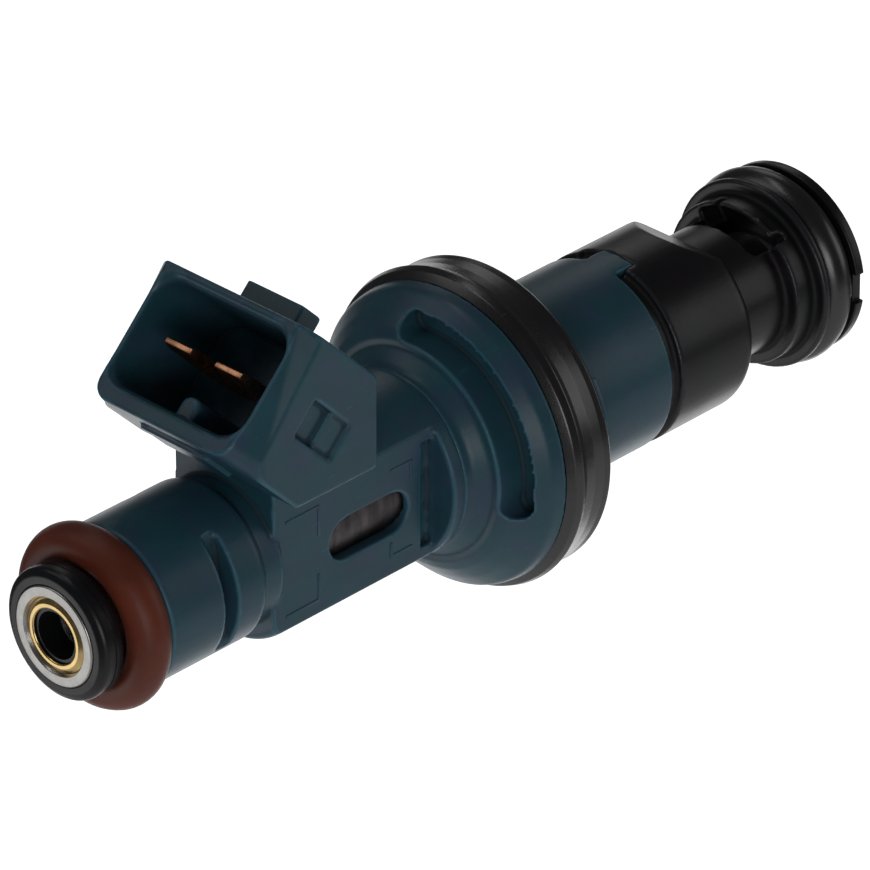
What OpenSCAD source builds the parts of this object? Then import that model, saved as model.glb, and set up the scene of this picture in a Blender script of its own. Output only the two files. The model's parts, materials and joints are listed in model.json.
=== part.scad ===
// Air-shrouded, top-feed solenoid fuel injector.
// The injector's axis is +X, from the fuel inlet's end face at the origin to
// the spray end. The electrical socket rises on the +Z side.

/* [Inlet] */
// Radius of the steel inlet tube, which seats the rail seal
tube_r = 3.9; // [3.8:0.05:4.0]
// Outer radius of the retaining collar on the tube's end
retainer_r = 5.1; // [4.8:0.05:5.3]
// Distance from the inlet face to the rail seal's centre
inlet_seal_x = 4.0; // [3.8:0.05:4.1]
// Radius of the rail seal's round section
inlet_seal_section = 1.6; // [1.4:0.05:1.65]

/* [Connector body] */
// Radius of the round barrel behind the rail seal
barrel_r = 6.3; // [6.1:0.05:6.5]
// Where the barrel's rear shoulder ends
barrel_end = 15.1; // [14.8:0.1:15.4]
// Where the flat-sided coil box starts
box_start = 16.8; // [16.4:0.1:17.2]
// Radius of the coil box's round top and bottom
box_r = 7.28; // [7.1:0.02:7.4]
// Half of the distance between the coil box's flat sides
box_half = 5.0; // [4.8:0.05:5.2]
// Where the coil box's flats end
box_end = 31.95; // [31.8:0.05:32.1]
// Where the body's round rear collar ends
collar_end = 34.3; // [34.1:0.1:34.6]

/* [Socket] */
// Width of the socket's mouth
mouth_w = 13.16; // [12.8:0.02:13.4]
// Height of the socket's mouth
mouth_h = 8.6; // [8.2:0.1:8.8]
// Depth of the socket
mouth_depth = 9.2; // [8.5:0.1:9.5]
// Half of the outer width across the socket's cheeks
cheek_half = 7.95; // [7.8:0.05:8.2]
// Distance between the two blade terminals
blade_pitch = 5.0; // [4.9:0.05:5.1]

/* [Flange and shroud] */
// Radius of the flange's rim
flange_r = 11.95; // [11.6:0.05:12.2]
// Outer radius of the flange seal
flange_seal_r = 12.65; // [12.4:0.05:13.0]
// Radius of the rear sleeve and of the air shroud
sleeve_r = 7.69; // [7.5:0.01:7.8]
// Radius of the shroud's neck
neck_r = 5.45; // [5.3:0.05:5.6]
// Radius of the shroud's front disc and of its tip ring
tip_r = 7.7; // [7.6:0.05:7.8]
// Radius of the round section of the manifold seal
tip_seal_section = 1.45; // [1.35:0.05:1.5]

/* [Valve] */
// Travel of the needle between the seat and the pole
needle_lift = 0.1; // [0.06:0.01:0.12]
// Radius of the valve ball
ball_r = 1.6; // [1.5:0.05:1.6]
// Turns of the return spring
spring_turns = 7; // [6:1:8]

/* [Hidden] */
$fn = 96;
eps = 0.5;               // overshoot of a cutting tool
root_two = sqrt(2);
fit_gap = 0.05;          // radial clearance of the running fits

// Inlet end
filter_seat_r = 2.9;
filter_seat_x = 2.2;
filter_r = 2.3;
bore_r = 2.35;
filter_bore_end = 13;
pole_bore_r = 1.6;
tube_step_x = 17.5;
retainer_start = 0.15;
retainer_end = 2.0;
barrel_start = inlet_seal_x + inlet_seal_section;

// Clip grooves across the barrel
clip_start = 10.85;
clip_end = 12.1;
clip_floor = 4.35;
clip_tilt = 8;

// Magnetic circuit
pole_r = 3.1;
pole_end = 31;
housing_start = 20.2;
housing_end = 36;
housing_r = 4.4;
housing_wall = 0.35;
housing_in = housing_r - housing_wall;
housing_floor = 0.7;
bobbin_start = housing_start + housing_floor;
bobbin_flange = 1.9;
bobbin_tail = 0.7;
bobbin_end = 31.4;
bobbin_core_r = 3.5;
gap_sleeve_start = 29.6;
gap_sleeve_end = 33.4;
gap_sleeve_r = 3.35;
boss_half = 3.3;
boss_top = 5.4;

// Valve
armature_gap = needle_lift + 0.02;
armature_start = pole_end + armature_gap;
armature_end = 37.6;
armature_r = pole_r - fit_gap;
spring_start = 26;
spring_end = 33.2;
spring_r = 1.2;
spring_wire = 0.18;
needle_r = 1.3;
needle_bore = 0.8;
needle_start = 36.4;
needle_end = 68.5;
ball_x = 69.5;
valve_tube_r = 3.6;
tube_seat_x = 67.5;
seat_r = 2.7;
seat_start = 70.2;
seat_end = 72.1;
plate_end = 72.35;
valve_tube_end = 72.8;

// Flange sleeve
hub_r = 7.05;
hub_fillet = 1.15;
flange_nose = 36.15;
flange_round = 3.75;
flange_back = 39.9;
seal_seat_r = 9.2;
seal_end = 44.4;
seat_end_x = 46.9;
lug_r = 9.65;
sleeve_end = 56;
spigot_r = 6.9;
spigot_end = 61;
body_spigot_r = 6;
body_spigot_end = 38;
pocket_in = 8.75;
pocket_out = 10.7;
pocket_floor = 38.9;
pocket_from = -13;
pocket_to = 101;
tab_end = 58.7;
tab_from = 78;
tab_to = 101;

// Air shroud
shroud_start = 57;
shroud_end = 65.3;
shroud_round = 0.9;
ramp_start = 62.6;
ramp_slope = 37;
step_start = 71.1;
step_r = 6.6;
disc_start = 73.1;
disc_end = 73.8;
tip_groove_r = 4.95;
tip_ring_start = disc_end + 2 * tip_seal_section;
shroud_tip = 77.6;
chamber_r = 4.4;
chamber_start = 64;
outlet_r = 3.1;
lip_r = 7.15;
window_start = 69.4;
window_wall = 0.35;
notch_to = 118;
window_half = 3.3;
notch_count = 2;
notch_width = 2.4;
notch_floor = 7.2;

// Socket frame: u runs across the socket's height, k along its axis, both at
// 45 degrees between X and Z.
rim_k = 1.8;
hood_low = 16.25;
hood_high = 27.25;
mouth_mid = 22.05;
mouth_round = 2.1;
bevel_depth = 1.9;
slab_back = 24.4;
slab_floor = 6.7;
blade_w = 2.8;
blade_t = 0.8;
blade_mid = 22.2;
blade_tip = rim_k - 0.8;
blade_bend = -9;
tail_w = 1.2;
tail_low = 3.75;
leg_x = (blade_mid - blade_bend) / root_two;
leg_z = (blade_mid + blade_bend) / root_two;

// A hollow cylinder on the injector's axis, from one place to another
module tube(from, to, outer, inner = 0) {
    translate([from, 0, 0])
        rotate([0, 90, 0])
            difference() {
                cylinder(h = to - from, r = outer);
                if (inner > 0)
                    translate([0, 0, -eps])
                        cylinder(h = to - from + 2 * eps, r = inner);
            }
}

// A profile of [radius, axial place] turned about the injector's axis
module turned() {
    rotate([0, 90, 0])
        rotate_extrude()
            children();
}

// A ring of round section
module torus(x, mean_r, section_r) {
    turned()
        translate([mean_r, x])
            circle(r = section_r, $fn = 64);
}

// A block between two angles about the axis; angle 0 is -Y and 90 is +Z
module sector(from, to, x0, x1, radius) {
    span = to - from;
    steps = ceil(span / 45);
    points = [for (i = [0:steps]) let (a = from + span * i / steps)
        [-radius * cos(a), radius * sin(a)] * 1.2];
    rotate([90, 0, 90])
        translate([0, 0, x0])
            linear_extrude(x1 - x0)
                polygon(concat([[0, 0]], points));
}

// Children drawn in [u, y, k] are put in the socket's frame
module in_socket() {
    rotate([0, -45, 0])
        children();
}

module rounded_rect(w, h, r) {
    square([w - 2 * r, h], center = true);
    square([w, h - 2 * r], center = true);
    for (x = [-1, 1], y = [-1, 1])
        translate([x * (w / 2 - r), y * (h / 2 - r)])
            circle(r = r, $fn = 48);
}

// ---- Fuel inlet ----

module inlet_tube() {
    color("silver")
        difference() {
            union() {
                tube(0, tube_step_x, tube_r);
                tube(tube_step_x, pole_end, pole_r);
            }
            tube(-eps, filter_seat_x, filter_seat_r);
            tube(filter_seat_x - eps, filter_bore_end, bore_r);
            tube(filter_bore_end - eps, pole_end + eps, pole_bore_r);
        }
}

module filter_collar() {
    color("gold")
        tube(0.05, filter_seat_x, filter_seat_r, filter_r);
}

// Plastic cage of the inlet strainer: a ring, four ribs and a closed end
module filter_basket() {
    cage_start = 0.3;
    cage_end = 11;
    color("darkslategray")
        difference() {
            tube(cage_start, cage_end, filter_r);
            tube(cage_start - eps, cage_end - 0.6, filter_r - 0.45);
            for (a = [45, 135])
                rotate([a, 0, 0])
                    translate([cage_start + 2.7, -0.8, -filter_r - eps])
                        cube([7, 1.6, 2 * (filter_r + eps)]);
        }
}

module filter_mesh() {
    color("gray")
        tube(2.4, 10.4, filter_r - 0.45, filter_r - 0.55);
}

// Snap-on collar that holds the rail seal on the tube
module inlet_retainer() {
    edge = 0.7;
    color("black")
        turned()
            difference() {
                translate([tube_r, retainer_start])
                    square([retainer_r - tube_r, retainer_end - retainer_start]);
                difference() {
                    translate([retainer_r - edge, retainer_start - eps])
                        square([edge + eps, edge + eps]);
                    translate([retainer_r - edge, retainer_start + edge])
                        circle(r = edge, $fn = 48);
                }
            }
}

module inlet_seal() {
    color("saddlebrown")
        torus(inlet_seal_x, tube_r + inlet_seal_section, inlet_seal_section);
}

// ---- Connector body ----

// Round barrel with a rounded rear shoulder, and the neck behind it
module barrel() {
    shoulder = 1.1;
    turned()
        union() {
            translate([0, barrel_start])
                square([barrel_r, barrel_end - shoulder - barrel_start]);
            translate([0, barrel_start])
                square([barrel_r - shoulder, barrel_end - barrel_start]);
            translate([barrel_r - shoulder, barrel_end - shoulder])
                circle(r = shoulder, $fn = 48);
            translate([0, barrel_end - 0.1])
                square([5.65, box_start - barrel_end + 0.2]);
        }
}

// Flat-sided box around the coil, with its rear collar and spigot
module coil_box() {
    intersection() {
        tube(box_start, box_end + 0.01, box_r);
        translate([box_start, -box_half, -box_r])
            cube([box_end - box_start + 0.01, 2 * box_half, 2 * box_r]);
    }
    translate([box_start, -box_half, 0])
        cube([slab_back - box_start, 2 * box_half, slab_floor + 0.01]);
    tube(box_end, 33, box_half - 1);
    intersection() {
        tube(box_end, 33, box_r);
        union() {
            translate([box_end, -box_half, 4.4])
                cube([1.05, 2 * box_half, 4]);
            translate([box_end, -box_half, -8.4])
                cube([1.05, 2 * box_half, 4]);
        }
    }
    tube(32.99, collar_end, box_r);
    tube(collar_end - 0.01, body_spigot_end, body_spigot_r);
}

// Pentagonal slab that carries the socket, leaning 45 degrees to the inlet
module socket_slab() {
    top_front = [(hood_high - rim_k), (hood_high + rim_k)] / root_two;
    low_front = [(hood_low - rim_k), (hood_low + rim_k)] / root_two;
    low_back = [hood_low * root_two - slab_floor, slab_floor];
    top_back = [slab_back, hood_high * root_two - slab_back];
    translate([0, cheek_half, 0])
        rotate([90, 0, 0])
            linear_extrude(2 * cheek_half)
                polygon([low_front, low_back, [slab_back, slab_floor],
                         top_back, top_front]);
}

// Latching ridges on the socket's upper and lower faces
module socket_lugs() {
    lug_half = 3.34;
    in_socket() {
        translate([hood_high - 0.01, -lug_half, -5.6])
            cube([1.5, 2 * lug_half, 2.3]);
        translate([hood_low - 0.35, -lug_half, -3])
            cube([0.36, 2 * lug_half, 2.25]);
    }
}

// What is taken out of the slab: the mouth, bevelled sides and side catches
module socket_cuts() {
    side = cheek_half - mouth_w / 2;
    in_socket() {
        translate([mouth_mid, 0, rim_k - mouth_depth])
            linear_extrude(mouth_depth + eps)
                rounded_rect(mouth_h, mouth_w, mouth_round);
        for (s = [-1, 1])
            scale([1, s, 1])
                translate([hood_low - 1, cheek_half, rim_k])
                    rotate([90, 0, 90])
                        linear_extrude(hood_high - hood_low + 2)
                            polygon([[-side, 0], [-side, eps], [eps, eps],
                                     [eps, -bevel_depth], [0, -bevel_depth]]);
        for (s = [-1, 1])
            scale([1, s, 1])
                translate([mouth_mid - 1.5, cheek_half, rim_k - 9])
                    catch_pocket();
    }
}

// Wedge-shaped catch pocket, deepest at its inner end
module catch_pocket() {
    rotate([90, 0, 90])
        linear_extrude(3)
            polygon([[-0.3, 0], [-0.3, 1.6], [-1.1, 1.6], [-0.2, 4.6],
                     [eps, 4.6], [eps, 0]]);
}

// Key rib on the floor side of the mouth, between the blades
module socket_rib() {
    in_socket()
        translate([mouth_mid - mouth_h / 2 - 0.1, -0.6, rim_k - mouth_depth])
            cube([1.9, 1.2, mouth_depth - 2.2]);
}

module connector_body() {
    color("slategray")
        difference() {
            union() {
                difference() {
                    union() {
                        barrel();
                        coil_box();
                        socket_slab();
                        socket_lugs();
                    }
                    socket_cuts();
                    clip_grooves();
                    side_windows();
                }
                socket_rib();
            }
            blade_set();
            body_bore();
        }
}

// Chord-shaped grooves that a rail clip slides into, one on each side
module clip_grooves() {
    for (s = [-1, 1])
        scale([1, s, 1])
            rotate([-clip_tilt, 0, 0])
                translate([clip_start, clip_floor, -8])
                    cube([clip_end - clip_start, 4, 16]);
}

// Obround openings in both flats, which show the magnet housing
module side_windows() {
    window_r = 1.7;
    window_z = -0.25;
    for (s = [-1, 1])
        scale([1, s, 1]) {
            for (x = [22.5 + window_r, 30.5 - window_r])
                translate([x, box_half - 2.2, window_z])
                    rotate([-90, 0, 0])
                        cylinder(h = 4, r = window_r, $fn = 48);
            translate([22.5 + window_r, box_half - 2.2, window_z - window_r])
                cube([8 - 2 * window_r, 4, 2 * window_r]);
        }
}

// The body is moulded round these parts
module body_bore() {
    tube(barrel_start - eps, tube_step_x, tube_r);
    tube(tube_step_x - 0.01, housing_start, pole_r);
    tube(housing_start - 0.01, housing_end, housing_r);
    tube(housing_end - 0.01, body_spigot_end + eps, valve_tube_r);
    terminal_boss();
}

// Block on the bobbin's front flange that holds the terminals' tails
module terminal_boss() {
    translate([bobbin_start, -boss_half, 0])
        cube([bobbin_flange, 2 * boss_half, boss_top]);
}

// The two bent blades: tip in the socket, tail in the coil bobbin
module blade_set() {
    for (s = [-1, 1])
        translate([0, s * blade_pitch / 2, 0]) {
            in_socket()
                translate([blade_mid - blade_t / 2, -blade_w / 2, blade_bend])
                    cube([blade_t, blade_w, blade_tip - blade_bend]);
            translate([leg_x - blade_t / 2, -blade_w / 2, 6.2])
                cube([blade_t, blade_w, leg_z - 6.2 + 0.25]);
            translate([leg_x - blade_t / 2, -tail_w / 2, tail_low])
                cube([blade_t, tail_w, 6.3 - tail_low]);
        }
}

module terminals() {
    color("peru")
        blade_set();
}

// ---- Magnetic circuit ----

module coil_bobbin() {
    color("ivory")
        difference() {
            union() {
                tube(bobbin_start, bobbin_end, bobbin_core_r);
                tube(bobbin_start, bobbin_start + bobbin_flange, housing_in);
                tube(bobbin_end - bobbin_tail, bobbin_end, housing_in);
                terminal_boss();
            }
            tube(bobbin_start - eps, bobbin_end + eps, pole_r);
            tube(gap_sleeve_start, bobbin_end + eps, gap_sleeve_r);
            blade_set();
        }
}

module coil_winding() {
    color("orangered")
        tube(bobbin_start + bobbin_flange, bobbin_end - bobbin_tail,
             housing_in - 0.1, bobbin_core_r);
}

module magnet_housing() {
    color("lightgray")
        difference() {
            tube(housing_start, housing_end, housing_r);
            tube(bobbin_start, housing_end - housing_floor, housing_in);
            tube(housing_start - eps, housing_start + 2, pole_r);
            tube(housing_end - 2, housing_end + eps, valve_tube_r);
            terminal_boss();
        }
}

// Steel ring that leads the flux from the housing to the armature
module yoke_ring() {
    color("silver")
        difference() {
            tube(bobbin_end, housing_end - housing_floor, housing_in);
            tube(bobbin_end - eps, gap_sleeve_end, gap_sleeve_r);
            tube(gap_sleeve_end - 0.01, housing_end, valve_tube_r);
        }
}

module gap_sleeve() {
    color("tan")
        tube(gap_sleeve_start, gap_sleeve_end, gap_sleeve_r, pole_r);
}

module adjusting_sleeve() {
    color("darkgray")
        tube(20, spring_start, pole_bore_r, 0.9);
}

// Coil spring swept along a helix
module return_spring() {
    sides = 8;
    rings = spring_turns * 14;
    travel = spring_end - spring_start - 2 * spring_wire;
    points = [for (i = [0:rings], j = [0:sides - 1])
        let (a = 360 * spring_turns * i / rings,
             b = 360 * j / sides,
             r = spring_r + spring_wire * cos(b))
        [spring_start + spring_wire + travel * i / rings + spring_wire * sin(b),
         r * cos(a), r * sin(a)]];
    walls = [for (i = [0:rings - 1], j = [0:sides - 1])
        let (n = (j + 1) % sides)
        [i * sides + j, i * sides + n, (i + 1) * sides + n, (i + 1) * sides + j]];
    first = [for (j = [0:sides - 1]) sides - 1 - j];
    last = [for (j = [0:sides - 1]) rings * sides + j];
    color("dimgray")
        polyhedron(points, concat(walls, [first, last]));
}

// ---- Valve ----

module armature() {
    color("darkgray")
        difference() {
            tube(armature_start, armature_end, armature_r);
            tube(armature_start - eps, spring_end, pole_bore_r);
            tube(spring_end - eps, needle_start, needle_bore);
            tube(needle_start - 0.01, armature_end + eps, needle_r);
        }
}

module valve_needle() {
    color("silver")
        difference() {
            tube(needle_start, needle_end, needle_r, needle_bore);
            translate([ball_x, 0, 0])
                sphere(r = ball_r);
            for (a = [0, 90])
                rotate([a, 0, 0])
                    translate([64.5, 0, -3])
                        cylinder(h = 6, r = 0.5, $fn = 32);
        }
}

module valve_ball() {
    color("gainsboro")
        translate([ball_x, 0, 0])
            sphere(r = ball_r);
}

// Ring that centres the ball, with three fuel passages
module ball_guide() {
    guide_start = 68.8;
    color("darkgray")
        difference() {
            tube(guide_start, seat_start, seat_r, ball_r + fit_gap);
            for (i = [0:2])
                rotate([120 * i, 0, 0])
                    translate([guide_start - eps, -0.6, 1])
                        cube([seat_start - guide_start + 2 * eps, 1.2, 1.2]);
        }
}

module valve_tube() {
    color("lightsteelblue")
        difference() {
            tube(gap_sleeve_end, valve_tube_end, valve_tube_r);
            tube(gap_sleeve_end - eps, 38.5, pole_r);
            tube(38, tube_seat_x, 2.4);
            tube(tube_seat_x - eps, plate_end, seat_r);
            tube(plate_end - eps, valve_tube_end + eps, 1.8);
        }
}

module valve_seat() {
    slack = 0.02 * root_two;
    reach = ball_r * root_two + slack;
    mouth = ball_x + reach - seat_start;
    throat = 0.4;
    color("gray")
        difference() {
            tube(seat_start, seat_end, seat_r);
            turned()
                polygon([[0, seat_start - eps], [mouth, seat_start - eps],
                         [mouth, seat_start], [throat, ball_x + reach - throat],
                         [throat, seat_end + eps], [0, seat_end + eps]]);
        }
}

module orifice_plate() {
    color("silver")
        difference() {
            tube(seat_end, plate_end, seat_r);
            for (i = [0:3])
                rotate([45 + 90 * i, 0, 0])
                    translate([seat_end - eps, 0, 0.22])
                        rotate([0, 90, 0])
                            cylinder(h = 2, r = 0.11, $fn = 24);
        }
}

// ---- Flange sleeve and air shroud ----

module flange_profile() {
    difference() {
        union() {
            translate([0, collar_end])
                square([hub_r, flange_back - collar_end]);
            translate([0, flange_nose - hub_fillet])
                square([hub_r + hub_fillet, flange_back - flange_nose + hub_fillet]);
            translate([0, flange_back - flange_round])
                square([flange_r - flange_round, flange_round]);
            intersection() {
                translate([flange_r - flange_round, flange_back])
                    circle(r = flange_round);
                translate([0, 30])
                    square([20, flange_back - 30]);
            }
            translate([0, flange_back - 0.01])
                square([seal_seat_r, seat_end_x - flange_back + 0.01]);
            translate([0, seat_end_x - 0.01])
                square([sleeve_r, sleeve_end - seat_end_x + 0.01]);
            translate([0, sleeve_end - 0.01])
                square([spigot_r, spigot_end - sleeve_end + 0.01]);
        }
        translate([hub_r + hub_fillet, flange_nose - hub_fillet])
            circle(r = hub_fillet, $fn = 48);
        translate([-eps, spigot_end])
            square([20, 20]);
    }
}

module flange_sleeve() {
    color("slategray")
        difference() {
            union() {
                turned()
                    flange_profile();
                intersection() {
                    tube(seal_end, seat_end_x, lug_r);
                    sector(-60, 32, seal_end - eps, seat_end_x + eps, lug_r);
                }
                for (turn = [0, 180])
                    rotate([turn, 0, 0])
                        intersection() {
                            tube(sleeve_end - 0.01, tab_end, sleeve_r, spigot_r - 0.1);
                            sector(tab_from, tab_to, sleeve_end - eps, tab_end + eps,
                                   sleeve_r);
                        }
            }
            for (turn = [0, 180])
                rotate([turn, 0, 0])
                    intersection() {
                        tube(30, pocket_floor, pocket_out, pocket_in);
                        sector(pocket_from, pocket_to, 30 - eps, pocket_floor + eps,
                               pocket_out);
                    }
            tube(collar_end - eps, body_spigot_end, body_spigot_r);
            tube(body_spigot_end - eps, spigot_end + eps, valve_tube_r);
        }
}

// Two-lipped rubber ring behind the flange
module flange_seal() {
    color("black")
        turned()
            polygon([[seal_seat_r, flange_back], [flange_r, flange_back],
                     [flange_r + 0.45, flange_back + 0.45],
                     [flange_seal_r, flange_back + 1.1],
                     [flange_seal_r - 0.1, flange_back + 1.5],
                     [flange_seal_r - 0.5, flange_back + 2.6],
                     [flange_seal_r - 0.5, seal_end - 0.8],
                     [flange_seal_r - 0.35, seal_end - 0.35],
                     [flange_seal_r - 0.6, seal_end],
                     [seal_seat_r, seal_end]]);
}

// Seal between the valve tube and the shroud
module shroud_seal() {
    section = 0.6;
    color("black")
        torus(spigot_end + section, valve_tube_r + section, section);
}

module air_shroud() {
    groove_r = valve_tube_r + 1.2;
    color("dimgray")
        difference() {
            union() {
                tube(sleeve_end, shroud_start + 0.01, lip_r);
                turned() {
                    translate([0, shroud_start])
                        square([sleeve_r, shroud_end - shroud_round - shroud_start]);
                    translate([0, shroud_start])
                        square([sleeve_r - shroud_round, shroud_end - shroud_start]);
                    translate([sleeve_r - shroud_round, shroud_end - shroud_round])
                        circle(r = shroud_round, $fn = 48);
                    translate([0, shroud_end - 0.01])
                        square([neck_r, step_start - shroud_end + 0.02]);
                    translate([0, step_start])
                        square([step_r, disc_start - step_start + 0.01]);
                    translate([0, disc_start])
                        square([tip_r, disc_end - disc_start]);
                    translate([0, disc_end - 0.01])
                        square([tip_groove_r, shroud_tip - disc_end + 0.01]);
                }
            }
            tube(sleeve_end - eps, spigot_end, spigot_r);
            tube(spigot_end - eps, spigot_end + 1.2, groove_r);
            tube(spigot_end, chamber_start + eps, valve_tube_r);
            tube(chamber_start, disc_start, chamber_r);
            tube(disc_start - eps, shroud_tip + eps, outlet_r);
            air_ramp();
            air_window();
            for (turn = [0, 180])
                rotate([turn, 0, 0])
                    sector(tab_from - 0.4, tab_to + 0.4, sleeve_end - eps,
                           tab_end + 0.05, sleeve_r);
            intersection() {
                tube(shroud_start - eps, shroud_start + 0.9, sleeve_r + 1, lip_r);
                sector(tab_to, notch_to, shroud_start - eps, shroud_start + 1,
                       sleeve_r);
            }
        }
}

// Sloping flat across the top of the shroud's shoulder
module air_ramp() {
    translate([ramp_start, 0, sleeve_r])
        rotate([0, ramp_slope, 0])
            translate([0, -10, 0])
                cube([3.45, 20, 5]);
}

// Air inlet through the neck and under the rim of the step
module air_window() {
    translate([window_start, -window_half, 0])
        cube([step_start - window_start, 2 * window_half, 9]);
    intersection() {
        tube(step_start - eps, disc_start, step_r - window_wall);
        translate([window_start, -window_half, 0])
            cube([disc_start - window_start, 2 * window_half, 9]);
    }
}

module tip_seal() {
    color("black")
        torus(disc_end + tip_seal_section, tip_groove_r + tip_seal_section + 0.15,
              tip_seal_section);
}

// Notched ring that holds the manifold seal on the shroud's tip
module tip_ring() {
    color("black")
        difference() {
            tube(tip_ring_start, shroud_tip, tip_r, tip_groove_r);
            for (i = [0:notch_count - 1])
                rotate([89 + 360 * i / notch_count, 0, 0])
                    translate([tip_ring_start - eps, -notch_width / 2, notch_floor])
                        cube([4, notch_width, 2]);
        }
}

inlet_tube();
filter_collar();
filter_basket();
filter_mesh();
inlet_retainer();
inlet_seal();
connector_body();
terminals();
coil_bobbin();
coil_winding();
magnet_housing();
yoke_ring();
gap_sleeve();
adjusting_sleeve();
return_spring();
armature();
valve_needle();
valve_ball();
ball_guide();
valve_tube();
valve_seat();
orifice_plate();
flange_sleeve();
flange_seal();
shroud_seal();
air_shroud();
tip_seal();
tip_ring();
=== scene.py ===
"""Builds the looks of an air-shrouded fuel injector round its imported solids.

The injector lies along X, from the fuel inlet at the origin to the spray end.
Pieces are shaped in millimetres, as on a maker's drawing, and brought to metres
when they are finished. The electrical socket has a frame of its own: u runs
across the socket's height and k out of its mouth, both 45 degrees from X.
"""

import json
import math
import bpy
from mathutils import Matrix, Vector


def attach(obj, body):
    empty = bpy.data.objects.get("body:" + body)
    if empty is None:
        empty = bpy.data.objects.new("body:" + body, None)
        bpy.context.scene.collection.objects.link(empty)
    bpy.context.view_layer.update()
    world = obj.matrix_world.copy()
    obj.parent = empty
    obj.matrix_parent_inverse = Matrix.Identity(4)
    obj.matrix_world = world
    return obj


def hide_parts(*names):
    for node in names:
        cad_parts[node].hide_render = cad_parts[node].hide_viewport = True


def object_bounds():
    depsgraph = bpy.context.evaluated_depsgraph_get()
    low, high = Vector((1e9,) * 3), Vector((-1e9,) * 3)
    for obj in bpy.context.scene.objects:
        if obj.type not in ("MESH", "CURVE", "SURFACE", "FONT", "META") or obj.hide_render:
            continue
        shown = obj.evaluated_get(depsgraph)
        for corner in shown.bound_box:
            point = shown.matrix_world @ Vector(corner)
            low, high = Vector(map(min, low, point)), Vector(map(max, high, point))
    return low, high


bl_info = {
    "name": "Fuel Injector Maker",
    "version": (1, 0, 0),
    "blender": (4, 5, 0),
    "location": "View3D > Sidebar > Injector",
    "description": "Models an air-shrouded fuel injector piece by piece",
    "category": "Add Mesh",
}

import bpy
import numpy as np
from bpy.props import FloatProperty, FloatVectorProperty, IntProperty, PointerProperty
from mathutils import Matrix, Vector

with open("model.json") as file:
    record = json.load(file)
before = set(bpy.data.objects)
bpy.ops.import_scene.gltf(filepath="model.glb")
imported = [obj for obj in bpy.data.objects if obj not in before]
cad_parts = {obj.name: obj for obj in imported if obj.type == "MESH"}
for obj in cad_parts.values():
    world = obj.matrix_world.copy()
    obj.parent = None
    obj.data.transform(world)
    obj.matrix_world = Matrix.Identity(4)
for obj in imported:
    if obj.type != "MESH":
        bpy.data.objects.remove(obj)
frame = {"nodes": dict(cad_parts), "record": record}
CAD_LOW, CAD_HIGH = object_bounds()

MM = 0.001
HULL = "injector"
SIDES = (-1, 1)
FINE_SIDES = 240
EDGE_MARKS = "edge"

SOCKET_LEAN = math.radians(-45)
SOCKET_BACK_X = 24.35
CHEEK_Y = 7.95
FLAT_Y = 5.0
SLEEVE_R = 7.69

LIT_PLACE = (0.038, 0.0, 0.0)


# ---------------------------------------------------------------- settings


class InjectorSizes(bpy.types.PropertyGroup):
    """Sizes of the moulded detail."""

    grain: FloatProperty(
        name="Moulding grain",
        description="Depth of the fine grain on moulded plastic",
        default=0.000006,
        min=0.0,
        unit="LENGTH",
    )
    voxel: FloatProperty(
        name="Moulding resolution",
        description="Cell size of the mesh that rounds the moulded pieces",
        default=0.00016,
        min=0.00005,
        unit="LENGTH",
    )
    flash: FloatProperty(
        name="Seal flash",
        description="Height of the parting line round a rubber seal",
        default=0.00002,
        min=0.0,
        unit="LENGTH",
    )
    seal_sides: IntProperty(
        name="Seal steps",
        description="Steps round a seal's ring",
        default=192,
        min=32,
    )


def colour_setting(name, description, colour):
    return FloatVectorProperty(
        name=name,
        description=description,
        subtype="COLOR",
        default=colour,
        min=0.0,
        max=1.0,
    )


class InjectorColours(bpy.types.PropertyGroup):
    """Colours of the injector's finishes."""

    slate: colour_setting(
        "Body plastic", "Colour of the blue-grey body", (0.028, 0.089, 0.123)
    )
    shroud: colour_setting(
        "Shroud plastic", "Colour of the black air shroud", (0.0085, 0.008, 0.0095)
    )
    rail_seal: colour_setting(
        "Rail seal", "Colour of the rubber seal at the inlet", (0.17, 0.036, 0.017)
    )
    rubber: colour_setting(
        "Black rubber", "Colour of the flange and tip seals", (0.01, 0.0095, 0.011)
    )
    steel: colour_setting(
        "Steel", "Colour of the turned steel parts", (0.5, 0.485, 0.465)
    )
    brass: colour_setting(
        "Brass", "Colour of the strainer's collar", (0.86, 0.62, 0.27)
    )
    copper: colour_setting(
        "Copper", "Colour of the blade terminals", (0.83, 0.4, 0.22)
    )


class StageSettings(bpy.types.PropertyGroup):
    """Camera, lights and floor."""

    azimuth: FloatProperty(
        name="Azimuth",
        description="Camera's turn round the injector",
        default=math.radians(-46.08),
        subtype="ANGLE",
    )
    elevation: FloatProperty(
        name="Elevation",
        description="Camera's height above the horizon",
        default=math.radians(30.33),
        subtype="ANGLE",
    )
    roll: FloatProperty(
        name="Roll",
        description="Camera's turn about its own line of sight",
        default=math.radians(0.2),
        subtype="ANGLE",
    )
    lens: FloatProperty(
        name="Lens",
        description="Focal length on a 36 mm sensor, in millimetres",
        default=295.6,
        min=20.0,
    )
    camera_place: FloatVectorProperty(
        name="Camera place",
        description="Where the camera stands",
        default=(-0.2872, -0.3136, 0.2648),
        subtype="TRANSLATION",
        unit="LENGTH",
    )
    floor_drop: FloatProperty(
        name="Floor drop",
        description="Distance from the injector's underside to the floor",
        default=0.075,
        min=0.0,
        unit="LENGTH",
    )
    floor_glow: FloatProperty(
        name="Floor glow",
        description="Light that the pale floor gives off",
        default=1.05,
        min=0.0,
    )
    light: FloatProperty(
        name="Light",
        description="Strength of all the soft boxes together",
        default=1.0,
        min=0.0,
    )


def sizes():
    return bpy.context.scene.injector_sizes


def colours():
    return bpy.context.scene.injector_colours


# ---------------------------------------------------------------- finishes


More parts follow.
